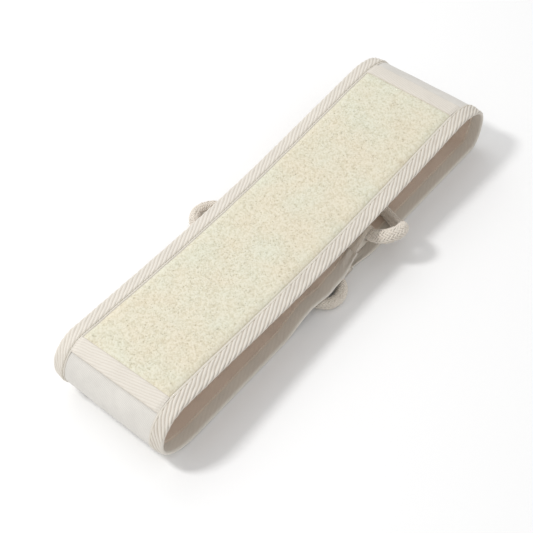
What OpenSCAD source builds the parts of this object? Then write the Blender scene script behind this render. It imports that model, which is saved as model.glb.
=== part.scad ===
// Back scrubber strap, folded into a flat loop: a loofah panel on top, and both ends folded
// under it. A rope handle runs through a casing at the tip of each end.
// X runs along the folded strap, Y across it and Z up. The origin is on the surface it lies on,
// under the middle of the folded strap. All sizes are in millimetres.

/* [Strap] */
// Length of the folded strap, from fold to fold
folded_len = 386; // [380:1:392]
// Width of the strap over its bindings
strap_w = 100; // [92:1:104]
// Height of the folded strap at its folds, over the bindings
fold_h = 50; // [49:0.5:53]
// How far the middle of the panel sags below its folds
sag = 7; // [0:0.5:8]

/* [Layers] */
// Thickness of the binding tape
tape_t = 0.7; // [0.5:0.1:0.9]
// Width of the binding tape on each face
tape_w = 11.4; // [8:0.2:16]
// Thickness of the canvas face cloth
canvas_t = 0.8; // [0.6:0.1:1]
// Thickness of the wadding
wadding_t = 1.4; // [1:0.1:1.6]
// Thickness of the lining
lining_t = 1.2; // [0.8:0.1:1.4]
// How far the loofah stands above the bindings
loofah_proud = 0.9; // [0.4:0.1:2]
// How far the cross strips stand above the bindings
strip_proud = 0.6; // [0.2:0.1:1]
// Width of the seam thread
thread_w = 0.6; // [0.4:0.1:0.8]

/* [Folds] */
// Reach of the near fold's upper half along X
near_top_reach = 23; // [18:1:30]
// Reach of the near fold's lower half along X
near_low_reach = 36; // [24:1:40]
// Reach of the far fold's upper half along X
far_top_reach = 36; // [24:1:40]
// Reach of the far fold's lower half along X
far_low_reach = 14; // [12:1:24]

/* [Handles] */
// Diameter of the rope
rope_d = 8.5; // [7:0.5:9]
// Radius of the channel that the rope runs in
bore_r = 5.3; // [5.2:0.1:5.6]
// Thickness of the casing's cloth
casing_wall = 1.1; // [0.8:0.1:1.2]
// Length of each casing across the strap
casing_len = 94; // [88:1:96]
// Length of the whipping that joins the rope's ends
whipping_len = 14; // [8:1:20]

/* [Hidden] */

// Colours
loofah_colour = [0.86, 0.83, 0.70];
canvas_colour = [0.90, 0.88, 0.83];
tape_colour = [0.91, 0.90, 0.87];
lining_colour = [0.80, 0.74, 0.64];
wadding_colour = [0.95, 0.95, 0.92];
thread_colour = [0.88, 0.84, 0.72];
rope_colour = [0.90, 0.87, 0.80];

// Depths of the layers, measured inwards from the outer face of the bindings
canvas_in = tape_t + canvas_t;
wadding_in = canvas_in + wadding_t;
lining_in = wadding_in + lining_t;
strap_t = lining_in + tape_t;
loofah_hem = 0.4;               // thickness of the loofah's edge where the tapes hold it

// Places along X of the folds, the loofah and the casings
half_len = folded_len / 2;
half_w = strap_w / 2;
tape_edge = half_w - tape_w;
fold_gap = 0.3;                 // left open between the panel and each folded end
hinge_z = fold_h / 2;
near_crown = near_top_reach - half_len;
far_crown = half_len - far_top_reach;
loofah_start = near_crown + 1;
near_sheet_end = 26;
far_sheet_end = 22;
near_bore = [43, 22];           // X and Z of the near casing's channel
casing_r = bore_r + casing_wall;
far_bore = [5, casing_r];       // X and Z of the far casing's channel
whipping_y = 26;                // where the rope's ends meet inside the casing

// Heights that the near end climbs to over the far rope, over the far casing and at its tip
over_rope = 9.7;
over_casing = 13.1;
over_tip = near_bore[1] - casing_r;

arc_step = 6;                   // degrees between stations round a fold
panel_steps = 26;
run_step = 6;                   // millimetres between stations along the floor

// ---- The strap's outer face, as stations [x, z, inward normal x, inward normal z] ----

function station(x, z, dx, dz) = concat([x, z], [dz, -dx] / norm([dz, -dx]));
function smooth(t) = let (c = min(1, max(0, t))) c * c * (3 - 2 * c);
function panel_z(x) =
    let (u = min(1, max(0, (x - near_crown) / (far_crown - near_crown))))
    fold_h - sag * pow(sin(180 * u), 1.25);
function near_z(x) =
    over_rope * smooth((x + 64) / 37)
    + (over_casing - over_rope) * smooth((x + 16) / 13)
    + (over_tip - over_casing) * smooth((x - 14) / 20);
function slope_near(x) = near_z(x + 0.5) - near_z(x - 0.5);
function slope_panel(x) = panel_z(x + 0.5) - panel_z(x - 0.5);

low_b = hinge_z - fold_gap / 2;
top_b = fold_h - hinge_z - fold_gap / 2;

// The near end, from its tip to the middle of the near fold
near_floor = near_low_reach - half_len;
near_run_n = ceil((near_sheet_end - near_floor) / run_step);
near_lap = [for (x = [near_bore[0], near_bore[0] - 6, 32]) station(x, near_z(x), -1, -slope_near(x))];
near_run = [
    for (k = [near_run_n : -1 : 1])
        let (x = near_floor + k * (near_sheet_end - near_floor) / near_run_n)
        station(x, near_z(x), -1, -slope_near(x))
];
near_low = [
    for (a = [90 : -arc_step : 0])
        station(near_floor - near_low_reach * cos(a), low_b * (1 - sin(a)),
                -near_low_reach * sin(a), low_b * cos(a))
];

// The panel, from the middle of the near fold to the middle of the far fold
near_top = [
    for (a = [0 : arc_step : 90])
        station(near_crown - near_top_reach * cos(a), fold_h - top_b * (1 - sin(a)),
                near_top_reach * sin(a), top_b * cos(a))
];
panel_run = [
    for (k = [0 : panel_steps - 1])
        let (x = loofah_start + k * (far_crown - loofah_start) / panel_steps)
        station(x, panel_z(x), 1, slope_panel(x))
];
far_top = [
    for (a = [90 : -arc_step : 0])
        station(far_crown + far_top_reach * cos(a), fold_h - top_b * (1 - sin(a)),
                far_top_reach * sin(a), -top_b * cos(a))
];

// The far end, from the middle of the far fold to its tip
far_floor = half_len - far_low_reach;
far_run_n = 6;
far_low = [
    for (a = [0 : arc_step : 90])
        station(far_floor + far_low_reach * cos(a), low_b * (1 - sin(a)),
                -far_low_reach * sin(a), -low_b * cos(a))
];
far_run = [
    for (k = [1 : far_run_n])
        station(far_floor + k * (far_sheet_end - far_floor) / far_run_n, 0, -1, 0)
];
far_lap = [for (x = [far_sheet_end, far_bore[0]]) station(x, 0, -1, 0)];

function part_of(list, first, last) = [for (i = [first : last]) list[i]];

near_path = concat(near_run, near_low);
panel_path = concat(near_top, panel_run, far_top);
far_path = concat(far_low, far_run);
last_arc = len(near_top) - 1;
loofah_path = concat(panel_run, [far_top[0]]);
hem_path = concat(part_of(near_top, last_arc - 2, last_arc), panel_run, part_of(far_top, 0, 2));
near_strip_path = concat(part_of(near_top, last_arc - 5, last_arc), [panel_run[0]]);
far_strip_path = part_of(far_top, 0, 4);
near_cover_path = part_of(near_top, 0, last_arc - 2);
far_cover_path = part_of(far_top, 2, last_arc);

// One layer of the strap: the stations give its outline, from depth d0 to depth d1
module layer(path, d0, d1, y0, y1) {
    outer = [for (s = path) [s[0] + d0 * s[2], s[1] + d0 * s[3]]];
    n = len(path);
    inner = [for (i = [n - 1 : -1 : 0]) [path[i][0] + d1 * path[i][2], path[i][1] + d1 * path[i][3]]];
    translate([0, y1, 0]) rotate([90, 0, 0]) linear_extrude(y1 - y0) polygon(concat(outer, inner));
}

// Binding tape folded over the +Y edge: outer face, edge and inner face
module binding(path) {
    layer(path, 0, tape_t, tape_edge, half_w);
    layer(path, tape_t, lining_in, half_w - tape_t, half_w);
    layer(path, lining_in, strap_t, tape_edge, half_w);
}

// The three inner layers reach to the inside of the tape's edge
module cloth(path, d0, d1) layer(path, d0, d1, tape_t - half_w, half_w - tape_t);

// Seam threads lie beside the tape's edges, on both faces
module seam_threads(path) {
    for (side = [0, 1]) mirror([0, side, 0]) {
        layer(path, 0.2, tape_t, tape_edge - thread_w, tape_edge);
        layer(path, lining_in, lining_in + 0.5, tape_edge - thread_w, tape_edge);
    }
}

// A channel of cloth for the rope, with a lap that is sewn to the end of the strap
module casing(bore, lap) {
    difference() {
        union() {
            layer(lap, 0, strap_t, -casing_len / 2, casing_len / 2);
            translate([bore[0], 0, bore[1]]) rotate([90, 0, 0])
                cylinder(h = casing_len, r = casing_r, center = true, $fn = 48);
        }
        translate([bore[0], 0, bore[1]]) rotate([90, 0, 0])
            cylinder(h = casing_len + 2, r = bore_r, center = true, $fn = 48);
    }
}

// ---- The rope handles ----

// Each handle starts and ends inside its casing, where the two ends of the rope meet
near_route = [
    [43, 25, 22], [43, 12, 22], [43, 0, 22], [43, -14, 22], [43, -28, 22], [43, -38, 22],
    [43, -44, 22], [43, -49, 23], [43, -54, 25], [44, -59, 27.5], [47, -63, 29.5],
    [51.5, -65.5, 30], [56.5, -65.5, 28.5], [61, -63.5, 25.2], [64.5, -60.7, 21.2],
    [67.5, -57.4, 17.2], [70.4, -53.7, 13.6], [73.4, -49, 10.8], [76.2, -43.5, 9.5],
    [78.4, -37, 9.4], [79.8, -29, 9.4], [79.8, -20, 9.4], [78.2, -9, 9.4], [75.4, 4, 9.4],
    [72, 17, 9.4], [69, 28, 9.4], [67, 37, 9.4], [65.5, 44, 10.2], [63, 50, 12.2],
    [59, 54.3, 15], [53.8, 56, 18], [48.6, 55.2, 20.3], [45, 52, 21.6], [43, 47, 22],
    [43, 38, 22], [43, 27, 22]
];
far_route = [
    [5, 25, 6.4], [5, 12, 6.4], [5, 0, 6.4], [5, -14, 6.4], [5, -28, 6.4], [5, -37, 6.4],
    [5, -44, 6.4], [4.4, -48.5, 6.3], [1.4, -52.8, 5.9], [-3.2, -55.8, 5.4], [-8.6, -56.6, 5], [-14.2, -54.8, 4.7],
    [-18.6, -49.8, 4.6], [-20.6, -42, 4.6], [-21, -30, 4.6], [-21, -16, 4.6], [-21, -2, 4.6],
    [-21, 12, 4.6], [-21, 26, 4.6], [-21, 40, 4.6], [-21, 52, 4.6], [-20, 62, 4.6],
    [-16.5, 70, 4.6], [-11, 75, 4.6], [-4, 76.5, 4.6], [2.5, 74, 4.6], [7, 69, 4.7],
    [8.5, 62, 5.1], [7, 54, 5.8], [5, 47, 6.4], [5, 38, 6.4], [5, 27, 6.4]
];
near_flat = [12.6, 0, 23];       // directions square to the loops that the handles make
far_flat = [0, 0, 1];
rope_sides = 10;

function towards(route, i) =
    let (a = route[max(0, i - 1)], b = route[min(len(route) - 1, i + 1)]) (b - a) / norm(b - a);
function ring(route, i, flat, r) =
    let (t = towards(route, i), c = cross(t, flat), u = c / norm(c), v = cross(t, u))
    [for (k = [0 : rope_sides - 1])
        let (a = 360 * k / rope_sides) route[i] + r * (cos(a) * u + sin(a) * v)];

// A tube along a route; flat is the direction square to the route's loop
module rope_tube(route, flat) {
    n = len(route);
    points = [for (i = [0 : n - 1]) each ring(route, i, flat, rope_d / 2)];
    sides = [
        for (i = [0 : n - 2], k = [0 : rope_sides - 1])
            let (a = i * rope_sides + k, b = i * rope_sides + (k + 1) % rope_sides)
            each [[a, b, b + rope_sides], [a, b + rope_sides, a + rope_sides]]
    ];
    first_cap = [for (k = [rope_sides - 1 : -1 : 0]) k];
    last_cap = [for (k = [0 : rope_sides - 1]) (n - 1) * rope_sides + k];
    polyhedron(points, concat([first_cap], sides, [last_cap]), convexity = 6);
}

// Thread wound round the place where the rope's ends meet
module whipping(bore) {
    translate([bore[0], whipping_y, bore[1]]) rotate([90, 0, 0]) difference() {
        cylinder(h = whipping_len, r = bore_r - 0.4, center = true, $fn = 32);
        cylinder(h = whipping_len + 1, r = rope_d / 2 + 0.05, center = true, $fn = 32);
    }
}

// ---- Panel ----

module loofah_panel() color(loofah_colour) {
    layer(loofah_path, -loofah_proud, tape_t, thread_w - tape_edge, tape_edge - thread_w);
    cloth(hem_path, tape_t, tape_t + loofah_hem);
}
module panel_canvas() color(canvas_colour) {
    cloth(near_cover_path, tape_t, canvas_in);
    cloth(hem_path, tape_t + loofah_hem, canvas_in);
    cloth(far_cover_path, tape_t, canvas_in);
}
module panel_wadding() color(wadding_colour) cloth(panel_path, canvas_in, wadding_in);
module panel_lining() color(lining_colour) cloth(panel_path, wadding_in, lining_in);
module panel_binding_left() color(tape_colour) binding(panel_path);
module panel_binding_right() color(tape_colour) mirror([0, 1, 0]) binding(panel_path);
module near_cross_strip() color(tape_colour)
    layer(near_strip_path, -strip_proud, tape_t, thread_w - tape_edge, tape_edge - thread_w);
module far_cross_strip() color(tape_colour)
    layer(far_strip_path, -strip_proud, tape_t, thread_w - tape_edge, tape_edge - thread_w);
module panel_seam_threads() color(thread_colour) seam_threads(panel_path);

// ---- Near end ----

module near_canvas() color(canvas_colour) cloth(near_path, tape_t, canvas_in);
module near_wadding() color(wadding_colour) cloth(near_path, canvas_in, wadding_in);
module near_lining() color(lining_colour) cloth(near_path, wadding_in, lining_in);
module near_binding_left() color(tape_colour) binding(near_path);
module near_binding_right() color(tape_colour) mirror([0, 1, 0]) binding(near_path);
module near_casing() color(canvas_colour) casing(near_bore, concat(near_lap, [near_run[0]]));
module near_seam_threads() color(thread_colour) seam_threads(near_path);

// ---- Far end ----

module far_canvas() color(canvas_colour) cloth(far_path, tape_t, canvas_in);
module far_wadding() color(wadding_colour) cloth(far_path, canvas_in, wadding_in);
module far_lining() color(lining_colour) cloth(far_path, wadding_in, lining_in);
module far_binding_left() color(tape_colour) binding(far_path);
module far_binding_right() color(tape_colour) mirror([0, 1, 0]) binding(far_path);
module far_casing() color(canvas_colour) casing(far_bore, far_lap);
module far_seam_threads() color(thread_colour) seam_threads(far_path);

// ---- Handles ----

module near_rope() color(rope_colour) rope_tube(near_route, near_flat);
module near_whipping() color(thread_colour) whipping(near_bore);
module far_rope() color(rope_colour) rope_tube(far_route, far_flat);
module far_whipping() color(thread_colour) whipping(far_bore);

loofah_panel();
panel_canvas();
panel_wadding();
panel_lining();
panel_binding_left();
panel_binding_right();
near_cross_strip();
far_cross_strip();
panel_seam_threads();
near_canvas();
near_wadding();
near_lining();
near_binding_left();
near_binding_right();
near_casing();
near_seam_threads();
far_canvas();
far_wadding();
far_lining();
far_binding_left();
far_binding_right();
far_casing();
far_seam_threads();
near_rope();
near_whipping();
far_rope();
far_whipping();
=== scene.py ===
import math

import bpy
import numpy as np
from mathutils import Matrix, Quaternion, Vector


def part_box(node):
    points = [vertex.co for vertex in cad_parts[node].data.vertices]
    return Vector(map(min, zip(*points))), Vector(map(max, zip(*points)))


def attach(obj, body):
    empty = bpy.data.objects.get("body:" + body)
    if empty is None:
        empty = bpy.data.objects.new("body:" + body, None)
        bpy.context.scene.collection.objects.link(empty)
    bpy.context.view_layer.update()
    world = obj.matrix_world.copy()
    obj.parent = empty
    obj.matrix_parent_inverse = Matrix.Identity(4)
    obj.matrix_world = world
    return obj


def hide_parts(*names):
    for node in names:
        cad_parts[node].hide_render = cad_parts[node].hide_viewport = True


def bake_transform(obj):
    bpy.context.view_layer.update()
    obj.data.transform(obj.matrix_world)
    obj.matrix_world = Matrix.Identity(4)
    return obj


# A cloth and loofah back scrubbing strap, folded into a flat loop on a pale floor, with a
# rope handle through a casing at each end. Everything is in metres, in the CAD model's frame:
# X along the folded strap, Y across it, Z up. The strap's surface is described by s, the
# distance along it from the tip of the near end, by y across it, and by a depth below its
# outer face, so that every layer follows the same curve.

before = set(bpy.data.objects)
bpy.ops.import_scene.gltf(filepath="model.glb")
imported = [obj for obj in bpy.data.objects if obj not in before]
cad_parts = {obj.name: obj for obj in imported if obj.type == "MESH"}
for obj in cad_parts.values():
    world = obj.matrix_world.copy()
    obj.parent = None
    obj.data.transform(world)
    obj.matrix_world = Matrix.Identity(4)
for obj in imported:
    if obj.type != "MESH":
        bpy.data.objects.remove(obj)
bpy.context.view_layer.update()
MM = 0.001
rng = np.random.default_rng(20)
scene = bpy.context.scene
scene.view_settings.view_transform = "Standard"

# ------------------------------------------------------------------ camera

CAMERA_AZIMUTH = math.radians(-52.27)
CAMERA_ELEVATION = math.radians(50.38)
CAMERA_DISTANCE = 1.1017
CAMERA_TARGET = Vector((-0.013, 0.0049, 0.0))
CAMERA_ROLL = math.radians(0.3)
CAMERA_LENS = 100.9


def make_camera():
    back = Vector((
        math.sin(CAMERA_AZIMUTH) * math.cos(CAMERA_ELEVATION),
        -math.cos(CAMERA_AZIMUTH) * math.cos(CAMERA_ELEVATION),
        math.sin(CAMERA_ELEVATION),
    ))
    data = bpy.data.cameras.new("camera")
    data.lens = CAMERA_LENS
    data.sensor_width = 36.0
    data.clip_start = 0.05
    camera = bpy.data.objects.new("camera", data)
    scene.collection.objects.link(camera)
    camera.location = CAMERA_TARGET + back * CAMERA_DISTANCE
    camera.rotation_mode = "QUATERNION"
    camera.rotation_quaternion = (-back).to_track_quat("-Z", "Y") @ Quaternion((0, 0, 1), CAMERA_ROLL)
    scene.camera = camera


make_camera()

# ------------------------------------------------------------------ sizes

edge_low, edge_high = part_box("panel_binding_left")
HALF_LEN = edge_high.x
HALF_W = edge_high.y
FOLD_H = edge_high.z
TAPE_W = edge_high.y - edge_low.y
SHEET_END = {"near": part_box("near_binding_left")[1].x, "far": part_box("far_binding_left")[0].x}
BORE = {}
for side in ("near", "far"):
    whip_low, whip_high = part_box(side + "_whipping")
    BORE[side] = ((whip_low.x + whip_high.x) / 2, (whip_low.z + whip_high.z) / 2)

STRAP_T = 4.8 * MM
TAPE_T = 0.7 * MM
CANVAS_IN = 1.5 * MM
WADDING_IN = 2.9 * MM
LINING_IN = 4.1 * MM
SAG = 7.0 * MM
TAPE_EDGE = HALF_W - TAPE_W
NEAR_TOP_REACH = 23 * MM
NEAR_LOW_REACH = 36 * MM
FAR_TOP_REACH = 36 * MM
FAR_LOW_REACH = 14 * MM
LOOFAH_START = -170.2 * MM
LOOFAH_END = 157 * MM
ON_FLOOR = 0.02 * MM
GATHER_REACH = 26 * MM
FOLD_SKEW = 2.0 * MM
FOLD_DRAWN_IN = 5.5 * MM
DRIFT = 3.6 * MM
TIP_DRIFT = 1.0 * MM
CASING_R = 6.4 * MM
CASING_BORE_R = 5.3 * MM
CASING_HALF = 47 * MM


# ------------------------------------------------------------------ meshes

def smooth(t):
    """0 below t = 0, 1 above t = 1, with an eased step between."""
    c = np.clip(t, 0.0, 1.0)
    return c * c * (3 - 2 * c)


def bump(x, centre, width):
    """1 at centre, falling to 0 a few widths away."""
    return np.exp(-(((x - centre) / width) ** 2))


def mesh_object(name, points, faces, uv=None, tone=None):
    """A smooth mesh from arrays. uv is in metres on the cloth; tone, from 0 to 1, darkens the colour:
    painted shade on the tape and the loofah pad, random tone on the loose fibres.
    """
    mesh = bpy.data.meshes.new(name)
    flat = faces.ravel()
    sizes = np.full(len(faces), faces.shape[1], np.int32)
    mesh.vertices.add(len(points))
    mesh.vertices.foreach_set("co", points.astype(np.float32).ravel())
    mesh.loops.add(len(flat))
    mesh.loops.foreach_set("vertex_index", flat.astype(np.int32))
    mesh.polygons.add(len(sizes))
    starts = np.concatenate([[0], np.cumsum(sizes)[:-1]])
    mesh.polygons.foreach_set("loop_start", starts.astype(np.int32))
    mesh.polygons.foreach_set("use_smooth", np.ones(len(sizes), bool))
    if uv is not None:
        layer = mesh.uv_layers.new(name="cloth")
        layer.data.foreach_set("uv", uv[flat].astype(np.float32).ravel())
    if tone is not None:
        attribute = mesh.attributes.new("tone", "FLOAT", "POINT")
        attribute.data.foreach_set("value", tone.astype(np.float32).ravel())
    mesh.update()
    mesh.validate()
    made = bpy.data.objects.new(name, mesh)
    scene.collection.objects.link(made)
    return made


def grid_faces(rows, columns, wrap_rows=False, wrap_columns=False, start=0):
    """Quads over a grid of points that runs row by row."""
    i, j = np.meshgrid(
        np.arange(rows - (not wrap_rows)), np.arange(columns - (not wrap_columns)), indexing="ij"
    )
    i, j = i.ravel(), j.ravel()
    i2, j2 = (i + 1) % rows, (j + 1) % columns
    corners = [i * columns + j, i * columns + j2, i2 * columns + j2, i2 * columns + j]
    return start + np.stack(corners, axis=1)


def many_tubes(count, steps, sides):
    """Quads of many small open tubes, whose points follow each other."""
    one = grid_faces(steps, sides, wrap_columns=True)
    starts = np.arange(count) * steps * sides
    return (one[None] + starts[:, None, None]).reshape(-1, 4)


def shell(name, top, bottom, uv, tone=None):
    """A closed layer of cloth between two grids of the same size, shaped (rows, columns, 3)."""
    rows, columns = top.shape[:2]
    count = rows * columns
    upper = grid_faces(rows, columns)
    lower = grid_faces(rows, columns, start=count)[:, ::-1]
    index = np.arange(count).reshape(rows, columns)
    rim = np.concatenate([index[0, :-1], index[:-1, -1], index[-1, :0:-1], index[:0:-1, 0]])
    after = np.roll(rim, -1)
    walls = np.stack([after, rim, rim + count, after + count], axis=1)
    points = np.concatenate([top.reshape(-1, 3), bottom.reshape(-1, 3)])
    flat_uv = uv.reshape(-1, 2)
    return mesh_object(name, points, np.concatenate([upper, lower, walls]),
                       np.concatenate([flat_uv, flat_uv]), tone=tone)


# ------------------------------------------------------------------ the strap's curve

def near_height(x):
    """Height of the near end's outer face: it climbs over the far handle and the far casing."""
    over_rope = 9.7 * MM
    over_casing = 13.1 * MM
    over_tip = BORE["near"][1] - CASING_R
    return (
        over_rope * smooth((x + 64 * MM) / (37 * MM))
        + (over_casing - over_rope) * smooth((x + 16 * MM) / (13 * MM))
        + (over_tip - over_casing) * smooth((x - 14 * MM) / (20 * MM))
    )


def panel_height(x):
    start, end = NEAR_TOP_REACH - HALF_LEN, HALF_LEN - FAR_TOP_REACH
    u = np.clip((x - start) / (end - start), 0, 1)
    return FOLD_H - SAG * np.sin(np.pi * u) ** 1.25


def strap_curve():
    """Outer face of the strap from the tip of the near end to the tip of the far end."""
    half_h = FOLD_H / 2
    quarter = np.linspace(0, np.pi / 2, 60)
    near_floor, near_crown = NEAR_LOW_REACH - HALF_LEN, NEAR_TOP_REACH - HALF_LEN
    far_floor, far_crown = HALF_LEN - FAR_LOW_REACH, HALF_LEN - FAR_TOP_REACH
    run = np.linspace(SHEET_END["near"], near_floor, 400)
    top = np.linspace(near_crown, far_crown, 400)
    x = [run, near_floor - NEAR_LOW_REACH * np.sin(quarter),
         near_crown - NEAR_TOP_REACH * np.cos(quarter), top, far_crown + FAR_TOP_REACH * np.sin(quarter),
         far_floor + FAR_LOW_REACH * np.cos(quarter), np.linspace(far_floor, SHEET_END["far"], 60)]
    z = [near_height(run), half_h * (1 - np.cos(quarter)), half_h * (1 + np.sin(quarter)),
         panel_height(top), half_h * (1 + np.cos(quarter)), half_h * (1 - np.sin(quarter)),
         np.zeros(60)]
    x, z = np.concatenate(x), np.concatenate(z)
    keep = np.concatenate([[True], np.hypot(np.diff(x), np.diff(z)) > 1e-6])
    x, z = x[keep], z[keep]
    s = np.concatenate([[0], np.cumsum(np.hypot(np.diff(x), np.diff(z)))])
    even = np.arange(0, s[-1], 0.25 * MM)
    return even, np.interp(even, s, x), np.interp(even, s, z)


CURVE_S, CURVE_X, CURVE_Z = strap_curve()
LENGTH = CURVE_S[-1]
slope_x = np.gradient(CURVE_X, CURVE_S)
slope_z = np.gradient(CURVE_Z, CURVE_S)
blur = np.hanning(17) / np.hanning(17).sum()
slope_x = np.convolve(np.pad(slope_x, 8, mode="edge"), blur, mode="valid")
slope_z = np.convolve(np.pad(slope_z, 8, mode="edge"), blur, mode="valid")
IN_X = slope_z / np.hypot(slope_x, slope_z)
IN_Z = -slope_x / np.hypot(slope_x, slope_z)
S_NEAR_FOLD = CURVE_S[CURVE_X.argmin()]
S_FAR_FOLD = CURVE_S[CURVE_X.argmax()]


def s_on_panel(x):
    on = (CURVE_S > S_NEAR_FOLD) & (CURVE_S < S_FAR_FOLD)
    return float(np.interp(x, CURVE_X[on], CURVE_S[on]))


S_MID = s_on_panel(0.0)
S_LOOFAH = (s_on_panel(LOOFAH_START), s_on_panel(LOOFAH_END))
S_STRIP = (S_LOOFAH[0] - 13.2 * MM, S_LOOFAH[1] + 15 * MM)
HALVES = {"near": (0.0, S_MID), "far": (S_MID, LENGTH)}


def waves(s, y, scale, seed):
    """A few slow waves over the cloth, from -1 to 1."""
    own = np.random.default_rng(seed)
    total = 0.0
    for _ in range(6):
        ks, ky = own.normal(0, 1, 2) * 2 * math.pi / scale
        total = total + np.sin(ks * s + ky * y + own.uniform(0, 2 * math.pi))
    return total / 6


def place(s, y, depth):
    """Points in the row frame at s along the strap, y across it and depth below its outer face.

    The cloth has a little slack, gathers at both tips, is askew at the near fold, and drifts
    to the right where the near end climbs over the far one.
    """
    s, y, depth = np.broadcast_arrays(s, y, depth)
    x0, z0 = np.interp(s, CURVE_S, CURVE_X), np.interp(s, CURVE_S, CURVE_Z)
    nx, nz = np.interp(s, CURVE_S, IN_X), np.interp(s, CURVE_S, IN_Z)
    gathered = 1 - smooth(np.minimum(s, LENGTH - s) / GATHER_REACH)
    slack = waves(s, y, 90 * MM, 3) * 0.5 * MM * smooth(z0 / (20 * MM))
    folds = 1 + np.sin(y * 2 * math.pi / (8.5 * MM) + 2 * np.sin(y / (9 * MM)))
    lift = depth + slack + gathered * 0.8 * MM * folds
    skew = FOLD_SKEW * (y / HALF_W) * bump(s, S_NEAR_FOLD, 45 * MM)
    left_share = smooth((y / HALF_W + 0.7) / 1.7)
    skew = skew + FOLD_DRAWN_IN * left_share * bump(s, S_NEAR_FOLD - 24 * MM, 17 * MM)
    drift = DRIFT * bump(x0, -4 * MM, 24 * MM) + TIP_DRIFT * bump(x0, 32 * MM, 22 * MM)
    drift = drift * (s < S_NEAR_FOLD)
    drift = drift * (0.65 - 0.35 * y / HALF_W)
    height = np.maximum(z0 + lift * nz, ON_FLOOR)
    return np.stack([x0 + lift * nx + skew, y * (1 - 0.05 * gathered) - drift, height], axis=-1)


# ------------------------------------------------------------------ materials

class Paint:
    """A Principled material whose nodes are added one call at a time."""

    def __init__(self, name, roughness, sheen=0.0):
        self.material = bpy.data.materials.new(name)
        self.material.use_nodes = True
        self.tree = self.material.node_tree
        self.shader = self.tree.nodes["Principled BSDF"]
        self.shader.inputs["Roughness"].default_value = roughness
        self.shader.inputs["Sheen Weight"].default_value = sheen
        self.shader.inputs["Sheen Roughness"].default_value = 0.6
        self.shader.inputs["Specular IOR Level"].default_value = 0.25
        uv = self.tree.nodes.new("ShaderNodeUVMap")
        uv.uv_map = "cloth"
        self.uv = uv.outputs["UV"]
        self.place = self.tree.nodes.new("ShaderNodeTexCoord").outputs["Object"]

    def put(self, socket, value):
        if isinstance(value, bpy.types.NodeSocket):
            self.tree.links.new(value, socket)
        else:
            socket.default_value = value

    def math(self, operation, a, b=0.0, c=0.0):
        node = self.tree.nodes.new("ShaderNodeMath")
        node.operation = operation
        for socket, value in zip(node.inputs, (a, b, c)):
            self.put(socket, value)
        return node.outputs[0]

    def split(self, vector):
        node = self.tree.nodes.new("ShaderNodeSeparateXYZ")
        self.put(node.inputs[0], vector)
        return node.outputs[0], node.outputs[1]

    def threads(self, a, share_a, b, share_b, pitch):
        """A wave of the given pitch across a mix of two lengths."""
        across = self.math("ADD", self.math("MULTIPLY", a, share_a), self.math("MULTIPLY", b, share_b))
        return self.math("SINE", self.math("MULTIPLY", across, 2 * math.pi / pitch))

    def noise(self, vector, scale, detail=3.0, roughness=0.55):
        node = self.tree.nodes.new("ShaderNodeTexNoise")
        self.put(node.inputs["Vector"], vector)
        node.inputs["Scale"].default_value = scale
        node.inputs["Detail"].default_value = detail
        node.inputs["Roughness"].default_value = roughness
        return node.outputs["Fac"]

    def attribute(self, name):
        node = self.tree.nodes.new("ShaderNodeAttribute")
        node.attribute_name = name
        return node.outputs["Fac"]

    def ramp(self, value, stops):
        node = self.tree.nodes.new("ShaderNodeValToRGB")
        self.put(node.inputs[0], value)
        elements = node.color_ramp.elements
        while len(elements) < len(stops):
            elements.new(0.5)
        for element, (at, colour) in zip(elements, stops):
            element.position = at
            element.color = (*colour, 1.0)
        return node.outputs["Color"]

    def mix(self, share, a, b, blend="MIX"):
        node = self.tree.nodes.new("ShaderNodeMix")
        node.data_type = "RGBA"
        node.blend_type = blend
        self.put(node.inputs[0], share)
        self.put(node.inputs[6], a)
        self.put(node.inputs[7], b)
        return node.outputs[2]

    def finish(self, colour, height=None, depth=0.3 * MM, strength=0.6):
        self.put(self.shader.inputs["Base Color"], colour)
        if height is not None:
            node = self.tree.nodes.new("ShaderNodeBump")
            node.inputs["Strength"].default_value = strength
            node.inputs["Distance"].default_value = depth
            self.put(node.inputs["Height"], height)
            self.put(self.shader.inputs["Normal"], node.outputs["Normal"])
        return self.material


def shades(colour, spread):
    """A darker and a lighter version of a colour."""
    return [tuple(min(1.0, c * k) for c in colour) for k in (1 - spread, 1 + spread)]


def woven(name, colour, pitch, slant=0.0, sheen=0.15, spread=0.05, grooves=None):
    """Cloth with over and under threads at a pitch, turned by slant, with painted light and shade of the
    weave in its colour. Where grooves is given, a low tone darkens the colour towards it: painted shade.
    """
    paint = Paint(name, 0.92, sheen)
    u, v = paint.split(paint.uv)
    cos, sin = math.cos(slant), math.sin(slant)
    warp = paint.threads(u, cos, v, sin, pitch)
    weft = paint.threads(v, cos, u, -sin, pitch)
    weave = paint.math("MULTIPLY", warp, weft)
    fuzz = paint.noise(paint.place, 2600, 2.0)
    height = paint.math("MULTIPLY_ADD", weave, 0.35, fuzz)
    low, high = shades(colour, spread)
    slow = paint.ramp(paint.noise(paint.place, 55, 4.0), [(0.3, low), (0.7, high)])
    # The fine colour follows the weave's height: painted light on the raised threads and painted shade
    # in the hollows between them.
    low, high = shades(colour, spread * 1.6)
    fine = paint.ramp(height, [(0.1, low), (0.9, high)])
    cloth = paint.mix(0.5, slow, fine)
    # A low tone darkens the colour towards grooves: painted shade in the tape's rib grooves, creases and
    # inner face.
    if grooves is not None:
        shade = paint.ramp(paint.attribute("tone"), [(0.0, grooves), (0.9, (1.0, 1.0, 1.0))])
        cloth = paint.mix(1.0, cloth, shade, "MULTIPLY")
    return paint.finish(cloth, height, 0.18 * MM, 0.5)


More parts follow.
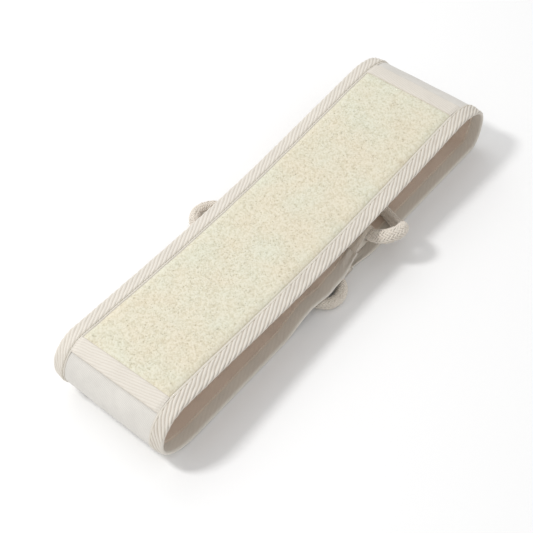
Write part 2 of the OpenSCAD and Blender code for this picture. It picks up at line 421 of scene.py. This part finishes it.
def loofah_material():
    paint = Paint("loofah", 0.9, 0.1)
    # The colour darkens where tone is low. On the pad, tone is its fibre height, so this is painted
    # shade in the hollows between fibres; the noise adds random tone.
    fibres = paint.math("MULTIPLY_ADD", paint.noise(paint.place, 900, 3.0), 0.5, paint.attribute("tone"))
    colour = paint.ramp(fibres, [
        (0.3, (0.58, 0.535, 0.41)), (0.75, (0.685, 0.65, 0.525)), (1.0, (0.755, 0.725, 0.615)),
    ])
    patches = paint.ramp(paint.noise(paint.place, 30, 3.0), [
        (0.35, (0.995, 0.955, 0.905)), (0.65, (0.965, 0.99, 0.97)),
    ])
    height = paint.noise(paint.place, 2200, 3.0)
    return paint.finish(paint.mix(1.0, colour, patches, "MULTIPLY"), height, 0.2 * MM, 0.6)


MATERIALS = {
    "canvas": woven("canvas", (0.66, 0.635, 0.59), 1.7 * MM, slant=0.6, spread=0.12),
    # casing is the canvas again in a warmer, browner colour: painted warm shade, since the casings lie
    # in shadow.
    "casing": woven("casing", (0.68, 0.61, 0.52), 1.3 * MM, slant=0.3, spread=0.08),
    # grooves is the colour of the painted shade in the tape's rib grooves, creases and inner face.
    "tape": woven("tape", (0.72, 0.675, 0.605), 0.9 * MM, slant=math.radians(25),
                  grooves=(0.66, 0.605, 0.545)),
    "lining": woven("lining", (0.68, 0.565, 0.47), 1.3 * MM, sheen=0.3, spread=0.09),
    "wadding": woven("wadding", (0.85, 0.85, 0.82), 2.5 * MM, sheen=0.3),
    "thread": woven("thread", (0.74, 0.70, 0.60), 0.35 * MM, slant=0.5),
    "rope": woven("rope", (0.76, 0.695, 0.61), 0.5 * MM, slant=0.4, sheen=0.3, spread=0.08),
    "loofah": loofah_material(),
}


def dress(piece, slot, look=None):
    """Gives a piece the material of its slot, or the material that look names instead."""
    piece.data.materials.clear()
    piece.data.materials.append(MATERIALS[look or slot])


def cross_fold(piece):
    """Bakes a piece's transform into its mesh; its points already follow the fold from place."""
    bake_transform(piece)


# ------------------------------------------------------------------ rope handles

NEAR_ROUTE = [
    (43, 25, 22), (43, 12, 22), (43, 0, 22), (43, -14, 22), (43, -28, 22), (43, -38, 22),
    (43, -44, 22), (43, -49, 23), (43, -54, 25), (44, -59, 27.5), (47, -63, 29.5),
    (51.5, -65.5, 30), (56.5, -65.5, 28.5), (61, -63.5, 25.2), (64.5, -60.7, 21.2),
    (67.5, -57.4, 17.2), (70.4, -53.7, 13.6), (73.4, -49, 10.8), (76.2, -43.5, 9.5),
    (78.4, -37, 9.4), (79.8, -29, 9.4), (79.8, -20, 9.4), (78.2, -9, 9.4), (75.4, 4, 9.4),
    (72, 17, 9.4), (69, 28, 9.4), (67, 37, 9.4), (65.5, 44, 10.2), (63, 50, 12.2),
    (59, 54.3, 15), (53.8, 56, 18), (48.6, 55.2, 20.3), (45, 52, 21.6), (43, 47, 22),
    (43, 38, 22), (43, 27, 22),
]
FAR_ROUTE = [
    (5, 25, 6.4), (5, 12, 6.4), (5, 0, 6.4), (5, -14, 6.4), (5, -28, 6.4), (5, -37, 6.4),
    (5, -44, 6.4), (4.4, -48.5, 6.3), (1.4, -52.8, 5.9), (-3.2, -55.8, 5.4), (-8.6, -56.6, 5),
    (-14.2, -54.8, 4.7), (-18.6, -49.8, 4.6), (-20.6, -42, 4.6), (-21, -30, 4.6),
    (-21, -16, 4.6), (-21, -2, 4.6), (-21, 12, 4.6), (-21, 26, 4.6), (-21, 40, 4.6),
    (-21, 52, 4.6), (-20, 62, 4.6), (-16.5, 70, 4.6), (-11, 75, 4.6), (-4, 76.5, 4.6),
    (2.5, 74, 4.6), (7, 69, 4.7), (8.5, 62, 5.1), (7, 54, 5.8), (5, 47, 6.4), (5, 38, 6.4),
    (5, 27, 6.4),
]


def smooth_line(points, step):
    """An even line through the points, rounded between them."""
    p = np.array(points, float)
    p = np.vstack([2 * p[0] - p[1], p, 2 * p[-1] - p[-2]])
    out = []
    for a, b, c, d in zip(p[:-3], p[1:-2], p[2:-1], p[3:]):
        t = np.linspace(0, 1, 24, endpoint=False)[:, None]
        out.append(0.5 * (2 * b + (c - a) * t + (2 * a - 5 * b + 4 * c - d) * t ** 2
                          + (3 * b - a - 3 * c + d) * t ** 3))
    line = np.vstack(out + [p[-2:-1]])
    far = np.concatenate([[0], np.cumsum(np.linalg.norm(np.diff(line, axis=0), axis=1))])
    even = np.linspace(0, far[-1], int(far[-1] / step) + 1)
    return np.stack([np.interp(even, far, line[:, k]) for k in range(3)], axis=1), even


def frames_along(line):
    """Unit vectors along and square to a line, turning as little as they can."""
    along = np.gradient(line, axis=0)
    along /= np.linalg.norm(along, axis=1)[:, None]
    side = np.zeros_like(line)
    start = np.cross(along[0], (0.3, 0.1, 1.0))
    side[0] = start / np.linalg.norm(start)
    for i in range(1, len(line)):
        v = side[i - 1] - along[i] * (side[i - 1] @ along[i])
        side[i] = v / np.linalg.norm(v)
    return along, side, np.cross(along, side)


def tube(centre, side, up, wide, thick, sides, flutes=0):
    """Points of a tube with an oval section, and its quads. Flutes are grooves between yarns."""
    turn = np.arange(sides) * 2 * math.pi / sides
    groove = 1 - 0.12 * np.abs(np.sin(turn * flutes / 2)) if flutes else np.ones(sides)
    ring = (wide * np.cos(turn) * groove)[None, :, None] * side[:, None] \
        + (thick * np.sin(turn) * groove)[None, :, None] * up[:, None]
    return (centre[:, None] + ring).reshape(-1, 3), grid_faces(len(centre), sides, wrap_columns=True)


CARRIERS = 12
LEAD = 27 * MM
BRAID_R = 3.55 * MM
WEAVE = 0.34 * MM
STRAND_WIDE = 0.8 * MM
STRAND_THICK = 0.66 * MM
CORE_R = 2.9 * MM
SWELL = 0.28


def braided_rope(name, route, body, swell_at=None):
    """Strands that wind both ways over and under each other, round a plain core.

    swell_at is a sharp bend, where the braid opens and the rope looks thicker.
    """
    line, far = smooth_line([(x * MM, y * MM, z * MM) for x, y, z in route], 0.9 * MM)
    along, side, up = frames_along(line)
    spin = 2 * math.pi / LEAD
    fuller = np.ones(len(line))
    if swell_at is not None:
        fuller = 1 + SWELL * bump(np.linalg.norm(line - np.array(swell_at), axis=1), 0.0, 13 * MM)
    points, faces, uv = [], [], []
    count = 0

    def add(new_points, new_faces, length, sides):
        nonlocal count
        points.append(new_points)
        faces.append(new_faces + count)
        count += len(new_points)
        u, v = np.meshgrid(length, np.arange(sides) * 0.7 * MM, indexing="ij")
        uv.append(np.stack([u.ravel(), v.ravel()], axis=1))

    add(*tube(line[::3], side[::3], up[::3], CORE_R, CORE_R, 8), far[::3], 8)
    for way in (1, -1):
        for k in range(CARRIERS):
            angle = way * spin * far + 2 * math.pi * k / CARRIERS
            crossing = CARRIERS * spin * far / 2 - way * math.pi / 4 + math.pi * k
            uneven = 0.13 * MM * np.sin(far / (2.9 * MM) + 2.4 * k)
            radius = (BRAID_R + uneven + way * WEAVE * np.cos(crossing)) * fuller
            out = np.cos(angle)[:, None] * side + np.sin(angle)[:, None] * up
            centre = line + radius[:, None] * out
            heading = np.gradient(centre, axis=0)
            across = np.cross(heading, out)
            across /= np.linalg.norm(across, axis=1)[:, None]
            add(*tube(centre, across, out, STRAND_WIDE, STRAND_THICK, 8, flutes=4), far, 8)
    rope = mesh_object(name, np.vstack(points), np.vstack(faces), np.vstack(uv))
    dress(rope, "rope")
    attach(rope, body)
    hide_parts(name.replace("_braid", ""))


braided_rope("near_rope_braid", NEAR_ROUTE[::-1], "near_handle",
             swell_at=(0.046, -0.060, 0.028))
braided_rope("far_rope_braid", FAR_ROUTE[::-1], "far_handle")


# ------------------------------------------------------------------ cloth layers

def cloth_layer(name, half, top_depth, bottom_depth, reach, step, slot, nodes, grain=0.0):
    """One layer of the strap over one half of its length, pinched thin under the bindings."""
    s = np.linspace(*HALVES[half], int((HALVES[half][1] - HALVES[half][0]) / step))[:, None]
    y = np.linspace(-reach, reach, int(2 * reach / step))[None, :]
    rough = 2 * grain * np.abs(waves(s, y, 2.4 * MM, 8)) if grain else 0.0
    sewn = 0.45 * MM * (bump(s, S_STRIP[0], 2 * MM) + bump(s, S_STRIP[1], 2 * MM)) * (slot == "canvas")
    pinched = 1 - 0.5 * smooth((np.abs(y) - TAPE_EDGE) / (4 * MM))
    middle = STRAP_T / 2
    top = place(s, y, middle + (top_depth + sewn - middle) * pinched)
    bottom = place(s, y, middle + (bottom_depth + rough + sewn - middle) * pinched)
    uv = np.stack(np.broadcast_arrays(s, y), axis=-1)
    piece = shell(name, top, bottom, uv)
    dress(piece, slot)
    cross_fold(piece)
    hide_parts(*nodes)
    return piece


inner_reach = HALF_W - TAPE_T - 1.2 * MM
for half in HALVES:
    canvas = cloth_layer(f"canvas_{half}", half, TAPE_T, CANVAS_IN, inner_reach, 1.1 * MM, "canvas",
                         ["panel_canvas", half + "_canvas"])
    cloth_layer(f"wadding_{half}", half, CANVAS_IN + 0.05 * MM, WADDING_IN - 0.05 * MM,
                inner_reach - 1 * MM, 3 * MM, "wadding", ["panel_wadding", half + "_wadding"])
    lining = cloth_layer(f"lining_{half}", half, WADDING_IN, LINING_IN, inner_reach, 1.1 * MM, "lining",
                         ["panel_lining", half + "_lining"], grain=0.25 * MM)


# ------------------------------------------------------------------ bindings

ROLLED = 1.0 * MM
RIB_H = 0.75 * MM
SEAM_IN = 1.7 * MM
TWILL_PITCH = 2.5 * MM
TWILL_SLANT = math.radians(25)


def ribs(along, across, pitch, slant, height):
    """Height of a twill's rounded ribs."""
    phase = (along * math.sin(slant) - across * math.cos(slant)) / pitch
    phase = phase + 0.16 * waves(along, across, 21 * MM, 5) + 0.07 * waves(along, across, 5 * MM, 6)
    r = phase - np.floor(phase)
    uneven = 1 + 0.3 * waves(along, across, 9 * MM, 7)
    return height * uneven * (1 - np.abs(2 * r - 1) ** 2.6)


def binding_section(v):
    """Section of the folded tape: v runs from the edge on the outer face to the inner face's."""
    round_r = STRAP_T / 2
    flat = TAPE_W - round_r
    turn = np.clip((v - flat) / round_r, 0, math.pi)
    y = np.where(v < flat, TAPE_EDGE + v, HALF_W - round_r + round_r * np.sin(turn))
    y = np.where(turn >= math.pi, HALF_W - round_r - (v - flat - math.pi * round_r), y)
    depth = round_r * (1 - np.cos(turn)) + ROLLED * smooth(v / flat) ** 2 * np.cos(turn)
    return y, depth, np.sin(turn), -np.cos(turn)


def binding_ribs(s, v, from_edge, total, sign):
    """Rib heights on the tape, and how worn they are: soft inside, and on the folded ends."""
    rib = ribs(s, sign * v[None, :], TWILL_PITCH, TWILL_SLANT, RIB_H)
    rib = rib * smooth((from_edge - 1.1 * MM) / (1.1 * MM))[None, :]
    on_panel = smooth((s - S_NEAR_FOLD) / (30 * MM)) * smooth((S_FAR_FOLD - s) / (30 * MM))
    worn_from = (0.30 + 0.32 * on_panel) * total
    crisp = 1 - 0.85 * smooth((v[None, :] - worn_from) / (0.12 * total))
    return rib, crisp


def binding_painted_shade(rib, crisp, v, from_edge, total, soft):
    """Painted shade on the tape: darker in its rib grooves, in the creases along its edges and along the
    seam, and on its inner face inside the loop.
    """
    plain = smooth((2.0 * MM - from_edge) / (0.6 * MM))[None, :]
    # inside darkens the tape's inner face: painted shade inside the loop.
    inside = smooth((v - 0.55 * total) / (0.1 * total))[None, :]
    # Painted shade lines in the crease at the tape's edge and along its seam; sewn multiplies them into
    # the colour.
    edge_crease_shade = 0.5 * bump(from_edge, 0.1 * MM, 0.35 * MM)
    seam_crease_shade = 0.45 * bump(from_edge, SEAM_IN, 0.35 * MM)
    sewn = (1 - edge_crease_shade - seam_crease_shade)[None, :]
    # Painted shade in the rib grooves, weaker where the ribs are worn flat; soft sets how dark it is.
    shade = 1 - soft * crisp * (1 - np.maximum(rib / RIB_H, plain))
    return shade * sewn * (1 - 0.35 * inside)


def binding(side, half):
    """The tape folded over one edge, on half of the strap."""
    sign = 1 if side == "left" else -1
    total = 2 * (TAPE_W - STRAP_T / 2) + math.pi * STRAP_T / 2
    v = np.linspace(0, total, 58)
    s = np.linspace(*HALVES[half], int((HALVES[half][1] - HALVES[half][0]) / (0.6 * MM)))[:, None]
    y, depth, out_y, out_depth = binding_section(v)
    from_edge = np.minimum(v, total - v)
    rib, crisp = binding_ribs(s, v, from_edge, total, sign)
    lip = 0.55 * MM * (1 - np.sqrt(1 - (1 - np.clip(from_edge / (0.8 * MM), 0, 1)) ** 2))
    selvedge = 0.3 * MM * bump(from_edge, 0.8 * MM, 0.45 * MM)
    seam = 0.35 * MM * bump(from_edge, SEAM_IN, 0.45 * MM)
    proud = rib * crisp - 0.35 * MM * (0.3 + 0.7 * crisp) + (selvedge - seam - lip)[None, :]
    outer = place(s, sign * (y + proud * out_y), depth + proud * out_depth)
    v_in = np.linspace(total, 0, 14)
    y, depth, out_y, out_depth = binding_section(v_in)
    inner = place(s, sign * (y - 0.62 * MM * out_y), depth - 0.62 * MM * out_depth)
    points = np.concatenate([outer, inner], axis=1)
    # The left binding faces the key lamp, so its painted groove shade is kept lighter: painted light on
    # that side.
    shade = binding_painted_shade(rib, crisp, v, from_edge, total, soft=0.55 if side == "left" else 0.9)
    tone = np.concatenate([shade, np.full((len(s), len(v_in)), 0.6)], axis=1)
    rows, columns = points.shape[:2]
    across = np.concatenate([v, v_in])[None, :] * sign
    uv = np.stack(np.broadcast_arrays(s, across), axis=-1)
    faces = grid_faces(rows, columns, wrap_columns=True)
    if sign < 0:
        faces = faces[:, ::-1]
    piece = mesh_object(f"binding_{side}_{half}", points.reshape(-1, 3), faces, uv.reshape(-1, 2),
                        tone=tone.ravel())
    dress(piece, "tape")
    cross_fold(piece)
    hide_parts(f"panel_binding_{side}", f"{half}_binding_{side}")


for side in ("left", "right"):
    for half in HALVES:
        binding(side, half)


# ------------------------------------------------------------------ cross strips

STRIP_RIB_H = 0.24 * MM


def cross_strip(half):
    """The tape over one cut end of the loofah: it stands proud at its edge by the fold."""
    inner, outer = (S_LOOFAH[0], S_STRIP[0]) if half == "near" else (S_LOOFAH[1], S_STRIP[1])
    w = np.linspace(0, 1, 48)[:, None]
    width = abs(outer - inner)
    s = inner + (outer - inner) * w
    y = np.linspace(-TAPE_EDGE - 0.4 * MM, TAPE_EDGE + 0.4 * MM, 170)[None, :]
    from_edge = np.minimum(w, 1 - w) * width
    lip = 0.35 * MM * (1 - np.sqrt(1 - (1 - np.clip(from_edge / (0.8 * MM), 0, 1)) ** 2))
    rib = ribs(y, w * width, 1.9 * MM, math.radians(12), STRIP_RIB_H) * smooth(from_edge / (1.4 * MM))
    side_dip = 0.6 * MM * smooth((np.abs(y) - TAPE_EDGE + 2.5 * MM) / (2.5 * MM))
    depth = -0.75 * MM + 0.6 * MM * smooth(w) + lip - rib + side_dip
    top = place(s, y, depth)
    undercut = smooth((w * width - width + 2.2 * MM) / (1.6 * MM))
    bottom = place(s, y, 0.68 * MM * (1 - undercut) + (depth + 0.3 * MM) * undercut)
    uv = np.stack(np.broadcast_arrays(w * width, y), axis=-1)
    # tone is painted shade in the strip's rib grooves, lighter on the ribs; the hidden underside gets a
    # fixed tone.
    tone = np.broadcast_to(0.55 + 0.45 * rib / STRIP_RIB_H, top.shape[:2]).ravel()
    piece = shell(f"cross_strip_{half}", top, bottom, uv, np.concatenate([tone, tone * 0 + 0.6]))
    dress(piece, "tape")
    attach(piece, "panel")
    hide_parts(half + "_cross_strip")


for half in HALVES:
    cross_strip(half)


# ------------------------------------------------------------------ loofah

LOOFAH_STEP = 0.5 * MM


def fibre_field(rows, columns, count):
    """A height map of fibres that wander over each other, from 0 to 1."""
    field = np.zeros((rows, columns), np.float32)
    start_r = rng.uniform(0, rows, count)
    start_c = rng.uniform(0, columns, count)
    heading = rng.uniform(0, 2 * math.pi, count)
    curl = rng.normal(0, 0.3, count)
    level = rng.uniform(0.4, 1.0, count)
    wide = rng.uniform(0.55, 0.8, count)
    steps = 8
    for k in range(steps):
        angle = heading + curl * k
        start_r = start_r + 0.5 * np.cos(angle)
        start_c = start_c + 0.5 * np.sin(angle)
        ends = min(1.0, (k + 1) / 2, (steps - k) / 2)
        base_r, base_c = np.round(start_r).astype(int), np.round(start_c).astype(int)
        for dr in (-1, 0, 1):
            for dc in (-1, 0, 1):
                r, c = base_r + dr, base_c + dc
                inside = (r >= 0) & (r < rows) & (c >= 0) & (c < columns)
                away = np.hypot(r - start_r, c - start_c) / wide
                value = level * ends * np.sqrt(np.clip(1 - away ** 2 / 2.2, 0, 1))
                np.maximum.at(field, (r[inside], c[inside]), value[inside])
    return field


def grain(rows, columns):
    """Soft uneven grains about a millimetre wide, round 0.5."""
    field = rng.random((rows, columns))
    for axis in (0, 1):
        field = (np.roll(field, 1, axis) + 2 * field + np.roll(field, -1, axis)) / 4
    return np.clip(0.62 + (field - 0.5) * 2.4, 0, 1)


def loofah_depth(s, y):
    """Depth of the pad's rounded face: it stands proud and dips where it is sewn down."""
    in_y = TAPE_EDGE - np.abs(y)
    in_s = np.minimum(s - S_LOOFAH[0], S_LOOFAH[1] - s)
    crown = smooth(in_y / (5 * MM)) ** 0.6 * smooth((in_s + 1 * MM) / (4 * MM)) ** 0.5
    lumps = 0.25 * MM * waves(s, y, 34 * MM, 11) + 0.12 * MM * waves(s, y, 11 * MM, 12)
    return 0.35 * MM - (1.45 * MM + lumps) * crown


def loofah():
    """The pad: a fine height field of matted fibres."""
    s = np.arange(S_LOOFAH[0] - 1 * MM, S_LOOFAH[1] + 1 * MM, LOOFAH_STEP)[:, None]
    reach = TAPE_EDGE - 0.1 * MM
    y = np.linspace(-reach, reach, int(2 * TAPE_EDGE / LOOFAH_STEP))[None, :]
    rows, columns = s.shape[0], y.shape[1]
    field = fibre_field(rows, columns, int(rows * columns * 0.2))
    field = 0.5 * np.maximum(field, 0.4) + 0.5 * grain(rows, columns)
    depth = loofah_depth(s, y) + 0.2 * MM - 0.44 * MM * field
    edge = np.zeros((rows, columns), bool)
    edge[[0, -1], :] = True
    edge[:, [0, -1]] = True
    depth = np.where(edge, 0.9 * MM, depth)
    points = place(s, y, depth)
    uv = np.stack(np.broadcast_arrays(s, y), axis=-1)
    # The height field is also the pad's tone: lower fibres are painted darker, painted shade in the
    # hollows.
    pad = mesh_object("loofah_pad", points.reshape(-1, 3), grid_faces(rows, columns), uv.reshape(-1, 2),
                      tone=field.ravel())
    dress(pad, "loofah")
    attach(pad, "panel")
    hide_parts("loofah_panel")


def loofah_fibres(count):
    """Loose fibres that lie over the pad and stand a little out of it."""
    steps, sides = 6, 3
    start_s = rng.uniform(S_LOOFAH[0] + 2 * MM, S_LOOFAH[1] - 2 * MM, count)
    start_y = rng.uniform(-TAPE_EDGE + 3 * MM, TAPE_EDGE - 3 * MM, count)
    heading = rng.uniform(0, 2 * math.pi, count)
    curl = rng.normal(0, 0.22, count)
    stride = rng.uniform(0.22, 0.45, count) * MM
    radius = rng.uniform(0.1, 0.2, count) * MM
    s, y = start_s, start_y
    centres = []
    for k in range(steps):
        angle = heading + curl * k
        s = s + stride * np.cos(angle)
        y = y + stride * np.sin(angle)
        arch = math.sin(math.pi * k / (steps - 1))
        depth = loofah_depth(s, y) + 0.15 * MM - arch * (0.27 * MM + 0.1 * MM * np.sin(heading * 3))
        centres.append(place(s, np.clip(y, -TAPE_EDGE + 1 * MM, TAPE_EDGE - 1 * MM), depth))
    centres = np.stack(centres, axis=1)
    along = np.gradient(centres, axis=1)
    along /= np.linalg.norm(along, axis=2)[:, :, None]
    across = np.cross(along, (0.0, 0.0, 1.0))
    across /= np.linalg.norm(across, axis=2)[:, :, None]
    above = np.cross(across, along)
    turn = np.arange(sides) * 2 * math.pi / sides
    turn = turn[None, None, :, None]
    ring = np.cos(turn) * across[:, :, None] + np.sin(turn) * above[:, :, None]
    taper = np.sin(np.linspace(0.25, math.pi - 0.25, steps)) ** 0.5
    points = centres[:, :, None] + ring * (radius[:, None] * taper[None, :])[:, :, None, None]
    tone = np.repeat(rng.uniform(0.75, 1.0, count), steps * sides)
    flat = points.reshape(-1, 3)
    fibres = mesh_object("loofah_fibres", flat, many_tubes(count, steps, sides), flat[:, :2], tone=tone)
    dress(fibres, "loofah")
    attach(fibres, "panel")


loofah()
loofah_fibres(5600)


# ------------------------------------------------------------------ stitches

def stitch_mesh(name, starts, ends, out, radius):
    """Short rounded threads, each from its start to its end, sunk at both ends."""
    steps, sides = 6, 6
    t = np.linspace(0, 1, steps)
    arch = np.sin(np.pi * t) ** 0.6
    centres = starts[:, None] * (1 - t)[None, :, None] + ends[:, None] * t[None, :, None]
    centres = centres + out[:, None] * (arch * radius * 1.3 - radius * 0.7)[None, :, None]
    along = ends - starts
    along /= np.linalg.norm(along, axis=1)[:, None]
    side = np.cross(along, out)
    side /= np.linalg.norm(side, axis=1)[:, None]
    turn = np.arange(sides) * 2 * math.pi / sides
    ring = np.cos(turn)[None, :, None] * side[:, None] + np.sin(turn)[None, :, None] * out[:, None]
    taper = 0.55 + 0.45 * np.sin(np.pi * t) ** 0.5
    points = centres[:, :, None] + radius * taper[None, :, None, None] * ring[:, None]
    points[..., 2] = np.maximum(points[..., 2], ON_FLOOR / 2)
    u = np.broadcast_to(t[None, :, None] * 2.6 * MM, points.shape[:3])
    v = np.broadcast_to(turn[None, None, :] * radius, points.shape[:3])
    uv = np.stack([u.ravel(), v.ravel()], axis=1)
    made = mesh_object(name, points.reshape(-1, 3), many_tubes(len(starts), steps, sides), uv)
    dress(made, "thread")
    return made


STITCH = 2.7 * MM
STITCH_GAP = 0.45 * MM
THREAD_R = 0.24 * MM


def seam_along(half):
    """Rows of stitches along both bindings, on the outer and the inner face."""
    s0 = np.arange(HALVES[half][0] + 1 * MM, HALVES[half][1] - STITCH, STITCH)
    s1 = s0 + STITCH - STITCH_GAP
    starts, ends, outs = [], [], []
    for sign in (1, -1):
        y = sign * (TAPE_EDGE + SEAM_IN)
        for depth, way in ((0.12 * MM, -1), (STRAP_T - 0.12 * MM, 1)):
            a, b = place(s0, y, depth), place(s1, y, depth)
            out = place(s0, y, depth + way * MM) - a
            starts.append(a)
            ends.append(b)
            outs.append(out / np.linalg.norm(out, axis=1)[:, None])
    made = stitch_mesh(f"stitches_{half}", np.vstack(starts), np.vstack(ends), np.vstack(outs), THREAD_R)
    cross_fold(made)
    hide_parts("panel_seam_threads", half + "_seam_threads")


for half in HALVES:
    seam_along(half)


# ------------------------------------------------------------------ casings

PLEAT = 4.4 * MM
PLEAT_DEPTH = 0.95 * MM


def casing_section(half, turn):
    """Section round the channel, from its middle: a tube whose back runs out to the cloth's tip."""
    cx, cz = BORE[half]
    lap_x = SHEET_END[half]
    lap_z = float(near_height(lap_x)) if half == "near" else 0.0
    round_x = CASING_R * np.cos(turn)
    round_z = CASING_R * np.sin(turn)
    pull = smooth((-round_x - 0.15 * CASING_R) / (0.85 * CASING_R))
    reach = abs(cx - lap_x) + 1.5 * MM
    flat_z = np.where(round_z > 0, STRAP_T + 0.35 * MM, 0.25 * MM) + lap_z - cz
    return round_x - pull * (reach - CASING_R), round_z * (1 - pull) + flat_z * pull, pull


def casing_swell(half, turn, y, pull):
    """How far the gathered cloth stands out from the section. The far one is flat on the floor."""
    folds = np.sin(y * 2 * math.pi / PLEAT + 1.7 * np.sin(y / (5 * MM))) * 0.5 + 0.5
    swell = -PLEAT_DEPTH * folds[:, None] * (1 - 0.6 * pull)[None, :] + 0.25 * MM
    if half == "far":
        swell = np.minimum(swell, 0.0) * (np.sin(turn) > -0.6)[None, :]
    return swell


def casing(half):
    """The hem at the tip: a channel of gathered cloth round the rope, and its lap."""
    cx, cz = BORE[half]
    way = 1 if half == "near" else -1
    turn = np.linspace(0, 2 * math.pi, 72, endpoint=False)
    y = np.linspace(-CASING_HALF, CASING_HALF, 200)
    px, pz, pull = casing_section(half, turn)
    swell = casing_swell(half, turn, y, pull)
    ox = px[None, :] + swell * np.cos(turn)[None, :]
    oz = pz[None, :] + swell * np.sin(turn)[None, :]
    outer = np.stack([cx + way * ox, np.broadcast_to(y[:, None], ox.shape), cz + oz], axis=-1)
    bore_x = cx + way * CASING_BORE_R * np.cos(turn)
    bore_z = cz + CASING_BORE_R * np.sin(turn)
    bore = np.stack(np.broadcast_arrays(bore_x[None, :], y[::-1][:, None], bore_z[None, :]), axis=-1)
    points = np.concatenate([outer, bore])
    rows, columns = points.shape[:2]
    faces = grid_faces(rows, columns, wrap_rows=True, wrap_columns=True)
    if way > 0:
        faces = faces[:, ::-1]
    u, v = np.meshgrid(np.concatenate([y, y[::-1]]), turn * CASING_R, indexing="ij")
    uv = np.stack([u.ravel(), v.ravel()], axis=1)
    piece = mesh_object(f"casing_{half}", points.reshape(-1, 3), faces, uv)
    # The casing is canvas cloth dressed in the casing look: painted warm shade.
    dress(piece, "canvas", look="casing")
    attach(piece, half + "_end")
    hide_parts(half + "_casing")


for half in HALVES:
    casing(half)


# ------------------------------------------------------------------ whippings, inside the casings

for half in HALVES:
    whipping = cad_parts[half + "_whipping"]
    whipping.data.materials.clear()
    whipping.data.materials.append(MATERIALS["thread"])


# ------------------------------------------------------------------ floor and light

KEY_AT = (-0.61, 0.62, 1.2)
KEY_SIZE = 0.26
KEY_WATTS = 9.3
FILL_AT = (0.55, 0.75, 1.0)
FILL_SIZE = 0.8
FILL_WATTS = 1.9
WORLD_LIGHT = 0.72
FLOOR_SHADE = 0.93


def lamp(name, at, size, watts):
    """A round lamp that points at the middle of the floor."""
    data = bpy.data.lights.new(name, "AREA")
    data.shape = "DISK"
    data.size = size
    data.energy = watts
    made = bpy.data.objects.new(name, data)
    scene.collection.objects.link(made)
    made.location = at
    made.rotation_mode = "QUATERNION"
    made.rotation_quaternion = (-Vector(at)).to_track_quat("-Z", "Y")


def studio():
    """A pale floor, an even white surround, a key lamp behind the object's left, and a fill."""
    paint = Paint("floor", 0.8)
    paint.finish((FLOOR_SHADE, FLOOR_SHADE, FLOOR_SHADE, 1.0))
    corners = np.array([(-3, -3, 0), (3, -3, 0), (3, 3, 0), (-3, 3, 0)], float)
    floor = mesh_object("floor", corners, np.array([[0, 1, 2, 3]]))
    floor.data.materials.append(paint.material)
    world = bpy.data.worlds.new("studio")
    world.use_nodes = True
    world.node_tree.nodes["Background"].inputs["Color"].default_value = (1.0, 1.0, 1.0, 1.0)
    world.node_tree.nodes["Background"].inputs["Strength"].default_value = WORLD_LIGHT
    scene.world = world
    lamp("key", KEY_AT, KEY_SIZE, KEY_WATTS)
    lamp("fill", FILL_AT, FILL_SIZE, FILL_WATTS)


studio()
